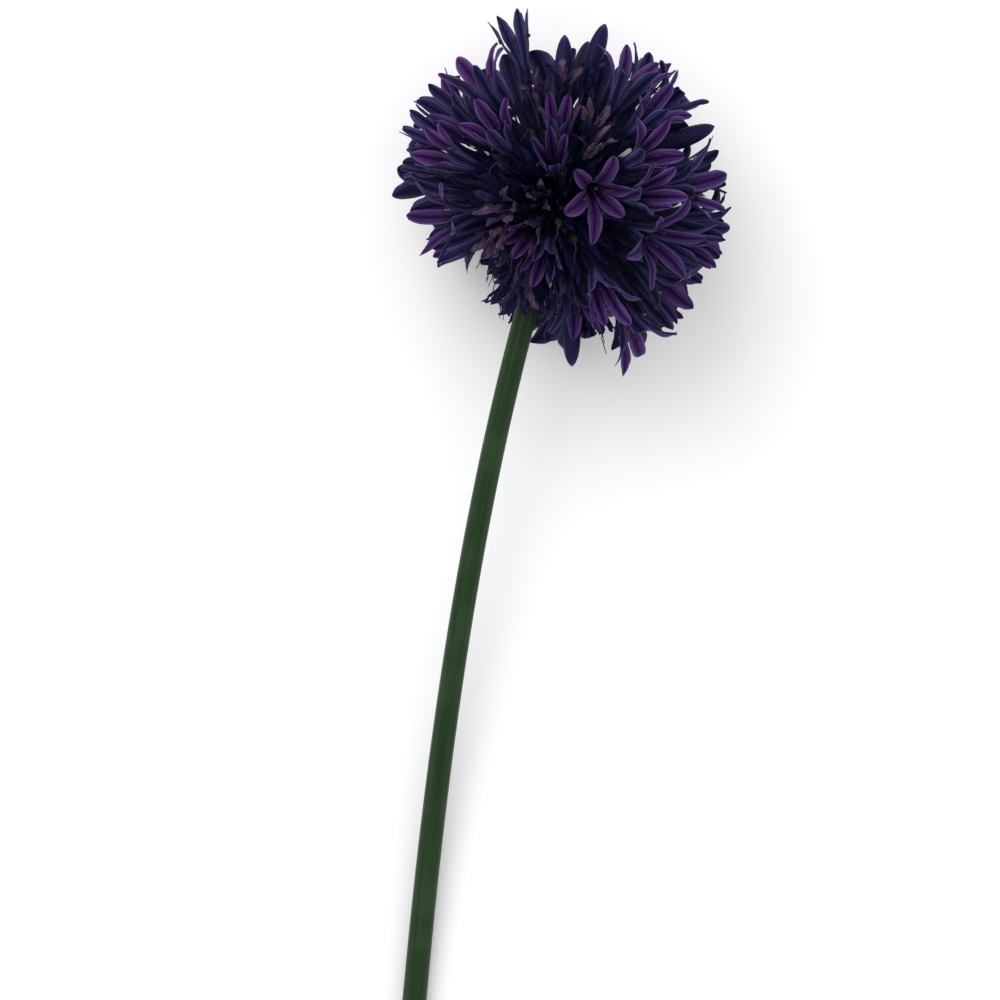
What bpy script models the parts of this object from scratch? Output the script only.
"""Agapanthus flower head, cut and laid on a surface: one curved scape and an umbel of 96 florets.

Sizes are in millimetres, and turned to metres as the meshes are made. +Y runs along the scape to
the head, +Z is up, and the origin is on the surface, under the middle of the whole flower.
The florets stand in cymes, three on one short foot, and each cyme is one closed solid.
"""

import itertools
import math
import random
from collections import namedtuple

import bpy
import numpy as np

MM = 0.001
SEED = 11

# The scape: a bent stalk that rests on its cut end and carries the head clear of the surface
HEAD = np.array([-1.42, 164.54, 70.0])
SCAPE_BEND_NEAR_HEAD = HEAD + (-42.4, -130.0, -26.0)
SCAPE_BEND_NEAR_CUT = HEAD + (-62.2, -285.0, -63.8)
SCAPE_CUT = HEAD + (-73.9, -425.0, -63.8)
SCAPE_RADIUS_AT_HEAD = 5.4
SCAPE_RADIUS_AT_CUT = 6.1
SCAPE_SIDES = 12
SCAPE_RINGS = 18
RECEPTACLE_RADIUS = 8.0
RECEPTACLE_RINGS = (-30, -5, 20, 45, 70)
SCAPE_MEETS_RECEPTACLE = 0.028

# The umbel: cymes spread over a ball round the receptacle, all but the part where the scape leaves
CYMES = 32
FLORETS_IN_CYME = 3
CYME_SPREAD = math.radians(13)
LOWEST_POLAR = math.radians(153)
SCAPE_CONE = math.radians(11)
UMBEL_AXIS = (HEAD - SCAPE_BEND_NEAR_HEAD) / np.linalg.norm(HEAD - SCAPE_BEND_NEAR_HEAD)

# The foot that a cyme's stalks share, and the stalks themselves
FOOT_START = RECEPTACLE_RADIUS + 0.3
FOOT_END = 12.0
FOOT_RADII = (1.7, 1.3)
STALK_STATIONS = (9.2, 14.5)
STALK_STAGGER = 0.3
STALK_RADII = (1.25, 0.9, 1.0)
STALK_PARTING = (9.0, 26.0)
DOME_SHARE = 0.64
DOME_LEFT_BEHIND = 35.0

# One row for each stage of a floret: its share of room, its reach from the receptacle's centre, tube
# length, tepal length, the widest lean of a tepal's tip from the axis, tepal width, throat radius, the
# share of its length that counts when the floret points straight out, and how much it nods. A spent
# floret has dropped all but its seed pod. Buds and pods are closed: their tepal is the whole length,
# and its width is the whole width. A grand floret is an open one with the longest tepals, and a slim
# one is half open, seen narrow.
Kind = namedtuple("Kind", "weight reach tube tepal lean width throat share droop")
KINDS = {
    "star": Kind(1.5, 79.0, 12.0, 24.0, 82.0, 9.4, 4.2, 0.72, 0.38),
    "grand": Kind(1.7, 80.0, 12.0, 29.0, 80.0, 9.4, 4.2, 0.72, 0.14),
    "open": Kind(1.15, 78.0, 11.0, 25.0, 80.0, 8.6, 4.2, 0.72, 0.16),
    "half": Kind(0.92, 82.0, 12.0, 25.0, 44.0, 8.0, 4.2, 0.94, 0.16),
    "slim": Kind(0.72, 84.0, 12.0, 25.0, 16.0, 6.4, 3.4, 0.97, 0.12),
    "faded": Kind(0.72, 74.0, 9.0, 19.0, 26.0, 5.4, 3.6, 0.94, 0.45),
    "withered": Kind(0.72, 70.0, 7.0, 17.0, 22.0, 4.6, 2.6, 0.94, 0.3),
    "bud": Kind(0.64, 83.0, 0.0, 34.0, 0.0, 8.8, 0.0, 1.0, 0.1),
    "spent": Kind(0.4, 48.0, 0.0, 9.0, 0.0, 4.2, 0.0, 1.0, 0.1),
}
CLOSED = ("bud", "spent")
SPLAY = {
    "star": 17.0, "grand": 19.0, "open": 17.0, "half": 11.0, "slim": 7.0,
    "faded": 7.0, "withered": 5.0, "bud": 4.5, "spent": 3.0,
}
BUD_PROFILE = ((0.25, 0.62), (0.6, 1.0), (0.86, 0.72))
TUBE_MIDDLE_SHARE = 0.66
TEPAL_STATIONS = (0.4, 0.82)
TEPAL_WIDTH_AT_STATIONS = (1.0, 0.74)
TEPAL_RIDGE = 0.75
TEPAL_CUP = 0.22
SECTOR = math.tan(math.radians(27.5))
GAP = 0.3
# What a floret without room tries in turn: a share of its sway, and a step out or back. Its tube never
# starts nearer to the centre than this.
FITTINGS = ((1.0, 0), (0.7, 0), (0.4, 0), (0.0, 0), (0.0, 4), (0.0, 8), (0.0, -4), (0.0, -8))
NEAREST_START = 21.0
# How far the star is turned about its axis, in radians
STAR_ROLL = math.radians(46)

# Florets with a place of their own: azimuth from +X and height above the level of the head, both in
# degrees, then the stage and how much further than its kind it reaches
PLACED = (
    (22, 74, "star", 0),
    (122, 25, "grand", 3),
    (60, 27, "grand", 0),
    (7, 27, "grand", 0),
    (338, 45, "grand", 0),
    (322, 17, "grand", -3),
    (186, 25, "grand", -11),
    (303, 4, "grand", 3),
    (352, 12, "open", 1),
    (28, 48, "open", -2),
    (43, 33, "open", 0),
    (44, 4, "open", 4),
    (136, 5, "half", 3),
    (141, 19, "half", -6),
    (160, -5, "half", -4),
    (133, 39, "half", -11),
    (158, 33, "half", -2),
    (175, 2, "half", -10),
    (110, -17, "half", -2),
    (298, 40, "half", -4),
    (358, 55, "half", -6),
    (56, -3, "half", 5),
    (15, 0, "half", 0),
    (333, 0, "half", -4),
    (103, -5, "slim", 13),
    (151, 1, "slim", -4),
    (314, -8, "slim", -6),
    (199, 2, "slim", -19),
    (91, 49, "slim", -18),
    (95, 68, "slim", -22),
    (230, 62, "slim", -20),
    (258, 55, "slim", -20),
    (78, 5, "bud", 7),
    (82.5, -3, "bud", 0),
    (88, 5, "bud", -1),
    (30, 1, "bud", 2),
    (277.5, 4, "bud", -4),
    (194, 62, "faded", -4),
    (209, 52, "withered", -2),
    (88, 28, "withered", 3),
    (76, 18, "withered", 2),
    (102, 33, "withered", 3),
    (58, 59, "withered", -4),
    (289, -4, "withered", -12),
    (238, 0, "withered", -11),
    (66, 44, "withered", -8),
    (160, 74, "withered", -20),
    (291, -33, "spent", 4),
    (78, 37, "spent", 12),
    (113, 46, "spent", 2),
    (150, 52, "spent", 6),
)
# How far the rest reach at each azimuth, in degrees and millimetres. Florets wither where that is
# little. By the third part of their direction, those that face up the most have dropped, and all that
# face down are open.
OUTLINE = (
    (0, 80), (30, 85), (45, 87), (60, 88), (75, 90), (90, 80), (103, 90), (120, 89), (135, 84),
    (155, 79), (175, 70), (188, 60), (196, 44), (204, 38), (222, 40), (235, 46), (245, 56),
    (260, 54), (277, 58), (284, 57), (294, 56), (302, 80), (315, 79), (330, 78), (345, 79),
)
WITHERED_BELOW = 59.0
DROPPED_ABOVE = 0.7
CROWDED_BELOW = -0.2
# Directions that hold no floret, with the room that each keeps free
EMPTY = ((229, 0, 0.9), (258, 25, 0.7))
SCAPE_WEIGHT = 1.4


def unit(vector):
    return vector / np.linalg.norm(vector)


def smooth(t):
    t = min(max(t, 0.0), 1.0)
    return t * t * (3 - 2 * t)


def direction_of(azimuth, height):
    flat = math.cos(height)
    return np.array([flat * math.cos(azimuth), flat * math.sin(azimuth), math.sin(height)])


def frame_about(axis, roll):
    """Two unit vectors square to the axis, turned about it by roll."""
    across = np.cross(axis, (0.0, 0.0, 1.0) if abs(axis[2]) < 0.9 else (1.0, 0.0, 0.0))
    first = unit(across)
    second = np.cross(axis, first)
    return (
        math.cos(roll) * first + math.sin(roll) * second,
        math.cos(roll) * second - math.sin(roll) * first,
    )


def scatter(draw):
    """Cyme axes on a golden-angle spiral, and directions of the florets, three about each axis."""
    golden = math.pi * (3 - math.sqrt(5))
    side, other = frame_about(UMBEL_AXIS, 0.0)
    axes = []
    sites = []
    for n in range(CYMES):
        polar = math.acos(1 - (n + 0.5) / CYMES * (1 - math.cos(LOWEST_POLAR)))
        turn = n * golden
        away = math.cos(turn) * side + math.sin(turn) * other
        axis = math.cos(polar) * UMBEL_AXIS + math.sin(polar) * away
        axes.append(axis)
        first, second = frame_about(axis, draw.uniform(0, math.tau))
        for k in range(FLORETS_IN_CYME):
            turn = k * math.tau / FLORETS_IN_CYME
            lean = math.cos(turn) * first + math.sin(turn) * second
            sites.append(math.cos(CYME_SPREAD) * axis + math.sin(CYME_SPREAD) * lean)
    return axes, np.array(sites)


def choose_kind(draw, site):
    """Florets that face up have dropped, those on the short side have withered, and of the rest buds are
    thickest at the top of the umbel and faded florets low down."""
    chance = draw.random()
    if site[2] > DROPPED_ABOVE:
        return "spent"
    if width_of_head(site) < WITHERED_BELOW:
        return "withered"
    if site[2] < CROWDED_BELOW:
        return "open"
    bud = 0.1 + 0.5 * smooth((site @ UMBEL_AXIS - 0.7) / 0.3)
    faded = 0.07 + 0.12 * smooth(-site[1] / 0.5)
    if chance < bud:
        return "bud"
    if chance < bud + faded:
        return "faded"
    if chance < bud + faded + 0.12:
        return "slim"
    return "half" if chance < bud + faded + 0.27 else "open"


def spread_out(sites, weights, held):
    """Pushes the sites apart over the ball, each by its weight, with the held ones left in place."""
    empty = [direction_of(math.radians(a), math.radians(h)) for a, h, _ in EMPTY]
    fixed = np.array([-UMBEL_AXIS, *empty])
    fixed_weights = np.array([SCAPE_WEIGHT, *(weight for _, _, weight in EMPTY)])
    rounds = 160
    for n in range(rounds):
        everything = np.vstack([sites, fixed])
        sizes = np.concatenate([weights, fixed_weights])
        apart = sites[:, None] - everything[None]
        distance = np.linalg.norm(apart, axis=2)
        distance[distance < 1e-9] = np.inf
        size = 0.5 * (weights[:, None] + sizes[None])
        push = (apart * ((0.36 * size) ** 5 / distance**6)[..., None]).sum(axis=1)
        push -= (push * sites).sum(axis=1)[:, None] * sites
        length = np.linalg.norm(push, axis=1)
        step = 0.03 * (1 - n / rounds) * np.minimum(1.0, length) / np.maximum(length, 1e-9)
        step[held] = 0.0
        sites = sites + push * step[:, None]
        sites /= np.linalg.norm(sites, axis=1)[:, None]
    return sites


def walls_between(sites, weights, i):
    """Normals of the planes through the receptacle's centre that bound floret i's room."""
    here = sites[i]
    walls = []
    for j, there in enumerate(sites):
        angle = math.acos(np.clip(here @ there, -1, 1))
        if j == i or angle > math.radians(75):
            continue
        share = angle * weights[i] / (weights[i] + weights[j])
        toward = unit(there - (there @ here) * here)
        walls.append(math.cos(share) * toward - math.sin(share) * here)
    scape = -UMBEL_AXIS
    share = math.acos(here @ scape) - SCAPE_CONE
    toward = unit(scape - (scape @ here) * here)
    walls.append(math.cos(share) * toward - math.sin(share) * here)
    return np.array(walls)


def has_room(points, walls):
    """True where every point, measured from the receptacle's centre, keeps clear of walls and floor."""
    return (points @ walls.T).max() <= -GAP and points[:, 2].min() >= 0.03 - HEAD[2]


def width_of_head(site):
    """How far the head reaches on this side, as seen from above."""
    azimuths, limits = zip(*OUTLINE)
    azimuth = math.degrees(math.atan2(site[1], site[0]))
    return np.interp(azimuth, azimuths, limits, period=360)


def reach_of(site, kind, extra, placed):
    """How far a floret's tips get from the centre, clear of the surface and mostly within the outline."""
    reach = KINDS[kind].reach + extra
    if not placed:
        reach = min(reach, width_of_head(site) / math.hypot(site[0], site[1]))
    down = -site[2]
    if down > 0.3:
        reach = min(reach, (HEAD[2] - SPLAY[kind] * math.sqrt(1 - down * down)) / down)
    return reach


class Floret:
    """One floret's place: where its tube starts, which way it faces and how far each tepal opens."""

    def __init__(self, site, kind, reach, walls, roll, sway):
        self.site = site
        self.kind = kind
        self.shape = KINDS[kind]
        self.walls = walls
        length = self.shape.tube + self.shape.tepal * self.shape.share
        for part, step in FITTINGS:
            self.start = max(reach - length + step, NEAREST_START) * site
            self.axis = unit(site + part * sway)
            self.across, self.along = frame_about(self.axis, roll)
            self.opening = [0.0] * 6
            if has_room(self.outline(), walls):
                break
        if kind not in CLOSED:
            self.opening = [self.widest(k) for k in range(6)]

    def place(self, radius, turn, height):
        """A point by its distance from the floret's axis, its turn about it and its height."""
        out = math.cos(turn) * self.across + math.sin(turn) * self.along
        return self.start + radius * out + height * self.axis

    def outline(self):
        shape = self.shape
        if self.kind in CLOSED:
            rings = [(share * shape.tepal, 0.5 * size * shape.width) for share, size in BUD_PROFILE]
            points = [self.place(r, k * math.tau / 6, z) for z, r in rings for k in range(6)]
            return np.array(points + [self.place(0.0, 0.0, shape.tepal)])
        return np.vstack([self.tepal(k, 0.0) for k in range(6)])

    def tepal(self, k, opening):
        """Points of tepal k: edge, outer ridge and edge at each station, then the tip."""
        shape = self.shape
        width = shape.width * (1.0 if k % 2 else 0.9)
        first = math.radians(14 + 3 * opening)
        last = math.radians(-12 + (shape.lean + 12) * opening)
        middle = k * math.tau / 6
        points = []
        for s, size in zip(TEPAL_STATIONS + (1.0,), TEPAL_WIDTH_AT_STATIONS + (0.0,)):
            turn = (last - first) * s
            chord = shape.tepal * s * np.sinc(turn / math.tau)
            radius = shape.throat + chord * math.sin(first + turn / 2)
            height = shape.tube + chord * math.cos(first + turn / 2)
            if s == 1.0:
                points.append(self.place(radius, middle, height))
                continue
            lean = first + turn
            half = min(0.5 * width * size, SECTOR * radius / (1 + TEPAL_CUP * SECTOR * math.cos(lean)))
            inner = radius - TEPAL_CUP * half * math.cos(lean)
            swing = math.atan2(half, inner)
            far = math.hypot(half, inner)
            lift = height + TEPAL_CUP * half * math.sin(lean)
            points.append(self.place(far, middle - swing, lift))
            ridge = TEPAL_RIDGE * math.cos(lean), TEPAL_RIDGE * math.sin(lean)
            points.append(self.place(radius + ridge[0], middle, height - ridge[1]))
            points.append(self.place(far, middle + swing, lift))
        return np.array(points)

    def widest(self, k):
        """The widest opening of tepal k, from 0 to 1, that the walls and the surface leave room for."""
        low, high = 0.0, 1.0
        if has_room(self.tepal(k, high), self.walls):
            return high
        for _ in range(8):
            middle = (low + high) / 2
            if has_room(self.tepal(k, middle), self.walls):
                low = middle
            else:
                high = middle
        return low


def settle_kinds(draw, sites):
    """Moves the nearest free site to each placed direction, and gives every floret its stage."""
    kinds = [choose_kind(draw, site) for site in sites]
    extra = [draw.uniform(-4, 4) for _ in sites]
    held = np.zeros(len(sites), bool)
    for azimuth, height, kind, further in PLACED:
        goal = direction_of(math.radians(azimuth), math.radians(height))
        nearest = int(np.argmax(np.where(held, -2.0, sites @ goal)))
        sites[nearest] = goal
        kinds[nearest] = kind
        extra[nearest] = further
        held[nearest] = True
    return kinds, extra, held


def share_out(axes, sites):
    """An order of the sites, three to a cyme, found by swapping two while that brings them nearer."""
    cost = np.arccos(np.clip(sites @ np.array(axes).T, -1, 1)) ** 2
    order = list(range(len(sites)))
    improved = True
    while improved:
        improved = False
        for i, j in itertools.combinations(range(len(order)), 2):
            a, b = order[i], order[j]
            m, n = i // FLORETS_IN_CYME, j // FLORETS_IN_CYME
            if cost[a, n] + cost[b, m] < cost[a, m] + cost[b, n] - 1e-9:
                order[i], order[j] = b, a
                improved = True
    return order


def grow_umbel():
    """The cyme axes, and all florets in order, three to a cyme."""
    draw = random.Random(SEED)
    axes, sites = scatter(draw)
    kinds, extra, held = settle_kinds(draw, sites)
    weights = np.array([KINDS[kind].weight for kind in kinds])
    sites = spread_out(sites, weights, held)
    florets = []
    for i in share_out(axes, sites):
        site = sites[i]
        droop = KINDS[kinds[i]].droop * np.array([0.0, -1.0, 0.0])
        chance = np.array([draw.uniform(-1, 1) for _ in range(3)]) * 0.12
        sway = droop + chance
        sway -= (sway @ site) * site
        reach = reach_of(site, kinds[i], extra[i], held[i])
        walls = walls_between(sites, weights, i)
        roll = draw.uniform(0, math.tau / 6)
        if kinds[i] == "star":
            roll = STAR_ROLL
        florets.append(Floret(site, kinds[i], reach, walls, roll, sway))
    return axes, florets


def stalk_point(distance, cyme_axis, site):
    """A point of a stalk: all feet stand on the dome of the receptacle, evenly, and spread from there."""
    start, end = STALK_PARTING
    turn = smooth((distance - start) / (end - start))
    way = unit((1 - turn) * cyme_axis + turn * site)
    share = DOME_SHARE + (1 - DOME_SHARE) * smooth((distance - start) / (DOME_LEFT_BEHIND - start))
    up = 1 - share * (1 - way @ UMBEL_AXIS)
    out = unit(way - (way @ UMBEL_AXIS) * UMBEL_AXIS)
    return distance * (up * UMBEL_AXIS + math.sqrt(1 - up * up) * out)


def ring(centre, normal, guide, radius, sides=6, turn=-math.tau / 12):
    """Points round a centre, square to the normal, in step with the guide vector."""
    first = unit(guide - (guide @ normal) * normal)
    second = np.cross(normal, first)
    turns = [turn + k * math.tau / sides for k in range(sides)]
    return [centre + radius * (math.cos(t) * first + math.sin(t) * second) for t in turns]


def band(lower, upper):
    """Quads between two rings of the same count, given by their first points' numbers and the count."""
    start, count = lower
    above = upper[0]
    return [
        (start + k, start + (k + 1) % count, above + (k + 1) % count, above + k) for k in range(count)
    ]


def stalk_rings(floret, cyme_axis, order):
    """Rings from inside the cyme's foot to the start of the tube."""
    far = np.linalg.norm(floret.start)
    distances = [STALK_STATIONS[0] + order * STALK_STAGGER, *STALK_STATIONS[1:], far]
    centres = [stalk_point(d, cyme_axis, floret.site) for d in distances[:-1]] + [floret.start]
    rings = []
    for n, (centre, radius) in enumerate(zip(centres, STALK_RADII)):
        before = centres[max(n - 1, 0)]
        after = centres[n + 1] if n + 1 < len(centres) else centre + 10 * floret.axis
        rings.append(ring(centre, unit(after - before), floret.across, radius))
    return rings


def closed_mesh(floret, cyme_axis, order):
    """A stalk with a bud or a seed pod, as one closed surface."""
    rings = stalk_rings(floret, cyme_axis, order)
    for share, size in BUD_PROFILE:
        centre = floret.start + share * floret.shape.tepal * floret.axis
        rings.append(ring(centre, floret.axis, floret.across, 0.5 * size * floret.shape.width))
    points = [point for circle in rings for point in circle]
    faces = [tuple(reversed(range(6)))]
    for n in range(len(rings) - 1):
        faces += band((6 * n, 6), (6 * n + 6, 6))
    last = 6 * len(rings) - 6
    points.append(floret.place(0.0, 0.0, floret.shape.tepal))
    faces += [(last + k, last + (k + 1) % 6, last + 6) for k in range(6)]
    return points, faces


def flower_mesh(floret, cyme_axis, order):
    """A stalk and tube that flare to six tepals round a funnel, as one closed surface."""
    rings = stalk_rings(floret, cyme_axis, order)
    tube, throat = floret.shape.tube, floret.shape.throat
    middle = floret.start + 0.55 * tube * floret.axis
    rings.append(ring(middle, floret.axis, floret.across, TUBE_MIDDLE_SHARE * throat))
    points = [point for circle in rings for point in circle]
    faces = [tuple(reversed(range(6)))]
    for n in range(len(rings) - 1):
        faces += band((6 * n, 6), (6 * n + 6, 6))
    below = 6 * len(rings) - 6
    notch = len(points)
    points += [floret.place(throat, (k - 0.5) * math.tau / 6, tube - 0.8) for k in range(6)]
    ridge = len(points)
    points += [floret.place(throat + 0.5, k * math.tau / 6, tube) for k in range(6)]
    floor = len(points)
    points.append(floret.place(0.0, 0.0, 0.5 * tube))
    for k in range(6):
        after = (k + 1) % 6
        faces += [
            (below + k, below + after, ridge + k),
            (below + k, ridge + k, notch + k),
            (below + after, notch + after, ridge + k),
            (floor, notch + k, notch + after),
        ]
        section = [notch + k, ridge + k, notch + after]
        blade = floret.tepal(k, floret.opening[k])
        for station in range(len(TEPAL_STATIONS)):
            upper = [len(points) + n for n in range(3)]
            points += list(blade[3 * station : 3 * station + 3])
            faces += blade_band(section, upper)
            section = upper
        points.append(blade[-1])
        tip = len(points) - 1
        faces += [(section[0], section[1], tip), (section[1], section[2], tip)]
        faces.append((section[2], section[0], tip))
    return points, faces


def blade_band(lower, upper):
    """Triangles between two sections of a tepal, each an edge, the ridge and the other edge."""
    edge, ridge, other = lower
    edge_up, ridge_up, other_up = upper
    return [
        (edge, ridge, edge_up),
        (ridge, ridge_up, edge_up),
        (ridge, other, other_up),
        (ridge, other_up, ridge_up),
        (other, edge, edge_up),
        (other, edge_up, other_up),
    ]


def foot_mesh(cyme_axis):
    """The short foot on the receptacle that a cyme's three stalks rise from."""
    rings = []
    centres = [stalk_point(d, cyme_axis, cyme_axis) for d in (FOOT_START, FOOT_END)]
    guide = frame_about(unit(centres[0]), 0.0)[0]
    rings.append(ring(centres[0], unit(centres[0]), guide, FOOT_RADII[0]))
    rings.append(ring(centres[1], unit(centres[1] - centres[0]), guide, FOOT_RADII[1]))
    points = [point for circle in rings for point in circle]
    faces = [tuple(reversed(range(6))), tuple(range(6, 12))]
    return points, faces + band((0, 6), (6, 6))


def scape_point(t):
    """A point of the scape's curve, from the receptacle at 0 to the cut end at 1."""
    u = 1 - t
    bends = (HEAD, SCAPE_BEND_NEAR_HEAD, SCAPE_BEND_NEAR_CUT, SCAPE_CUT)
    shares = (u**3, 3 * t * u * u, 3 * t * t * u, t**3)
    return sum(share * bend for share, bend in zip(shares, bends))


def scape_mesh():
    """Rings swept from the cut end to the head, then a ball-shaped receptacle over the last of them."""
    points = []
    rings = 0
    flat = math.cos(math.pi / SCAPE_SIDES)
    side = np.array([1.0, 0.0, 0.0])
    turn = math.pi / SCAPE_SIDES
    for n in range(SCAPE_RINGS):
        t = 1 - n / (SCAPE_RINGS - 1) * (1 - SCAPE_MEETS_RECEPTACLE)
        centre = scape_point(t)
        normal = unit(scape_point(max(t - 0.01, 0)) - scape_point(min(t + 0.01, 1)))
        radius = SCAPE_RADIUS_AT_HEAD + (SCAPE_RADIUS_AT_CUT - SCAPE_RADIUS_AT_HEAD) * t
        points += ring(centre, normal, side, radius / flat, SCAPE_SIDES, turn)
        rings += 1
    for height in RECEPTACLE_RINGS:
        angle = math.radians(height)
        centre = HEAD + RECEPTACLE_RADIUS * math.sin(angle) * UMBEL_AXIS
        radius = RECEPTACLE_RADIUS * math.cos(angle)
        points += ring(centre, UMBEL_AXIS, side, radius, SCAPE_SIDES, turn)
        rings += 1
    faces = [tuple(reversed(range(SCAPE_SIDES)))]
    for n in range(rings - 1):
        faces += band((SCAPE_SIDES * n, SCAPE_SIDES), (SCAPE_SIDES * (n + 1), SCAPE_SIDES))
    last = SCAPE_SIDES * (rings - 1)
    points.append(HEAD + RECEPTACLE_RADIUS * UMBEL_AXIS)
    for k in range(SCAPE_SIDES):
        faces.append((last + k, last + (k + 1) % SCAPE_SIDES, last + SCAPE_SIDES))
    return points, faces


def material(name, colour, roughness):
    made = bpy.data.materials.new(name)
    made.use_nodes = True
    shader = made.node_tree.nodes["Principled BSDF"]
    shader.inputs["Base Color"].default_value = (*colour, 1.0)
    shader.inputs["Roughness"].default_value = roughness
    shader.inputs["Metallic"].default_value = 0.0
    made.diffuse_color = (*colour, 1.0)
    return made


def add_object(name, points, faces, finish, collection):
    mesh = bpy.data.meshes.new(name)
    mesh.from_pydata([tuple(float(v) * MM for v in point) for point in points], [], faces)
    mesh.materials.append(finish)
    made = bpy.data.objects.new(name, mesh)
    collection.objects.link(made)
    return made


def join(target, parts):
    """One union of the target with everything in the collection, applied, and its objects removed."""
    union = target.modifiers.new("join", "BOOLEAN")
    union.operation = "UNION"
    union.operand_type = "COLLECTION"
    union.collection = parts
    union.solver = "EXACT"
    graph = bpy.context.evaluated_depsgraph_get()
    joined = bpy.data.meshes.new_from_object(target.evaluated_get(graph))
    target.modifiers.remove(union)
    target.data = joined
    for piece in list(parts.objects):
        bpy.data.objects.remove(piece)
    bpy.data.collections.remove(parts)


def add_cyme(number, axis, florets, finish):
    """Three florets and their foot, joined into one solid."""
    name = f"floret_cyme_{number:02d}"
    scene = bpy.context.scene.collection
    points, faces = foot_mesh(axis)
    target = add_object(name, [HEAD + p for p in points], faces, finish, scene)
    parts = bpy.data.collections.new(name + "_florets")
    scene.children.link(parts)
    for order, floret in enumerate(florets):
        shape = closed_mesh if floret.kind in CLOSED else flower_mesh
        points, faces = shape(floret, axis, order)
        add_object(f"{name}_{order}", [HEAD + p for p in points], faces, finish, parts)
    join(target, parts)
    target.data.name = name


def main():
    for old in list(bpy.data.objects):
        bpy.data.objects.remove(old)
    green = material("scape_green", (0.021, 0.042, 0.019), 0.5)
    purple = material("tepal_purple", (0.02, 0.012, 0.04), 0.55)
    points, faces = scape_mesh()
    scape = add_object("scape", points, faces, green, bpy.context.scene.collection)
    scape.data.shade_smooth()
    scape.data.set_sharp_from_angle(angle=math.radians(40))
    axes, florets = grow_umbel()
    for n, axis in enumerate(axes):
        add_cyme(n + 1, axis, florets[n * FLORETS_IN_CYME : (n + 1) * FLORETS_IN_CYME], purple)


main()
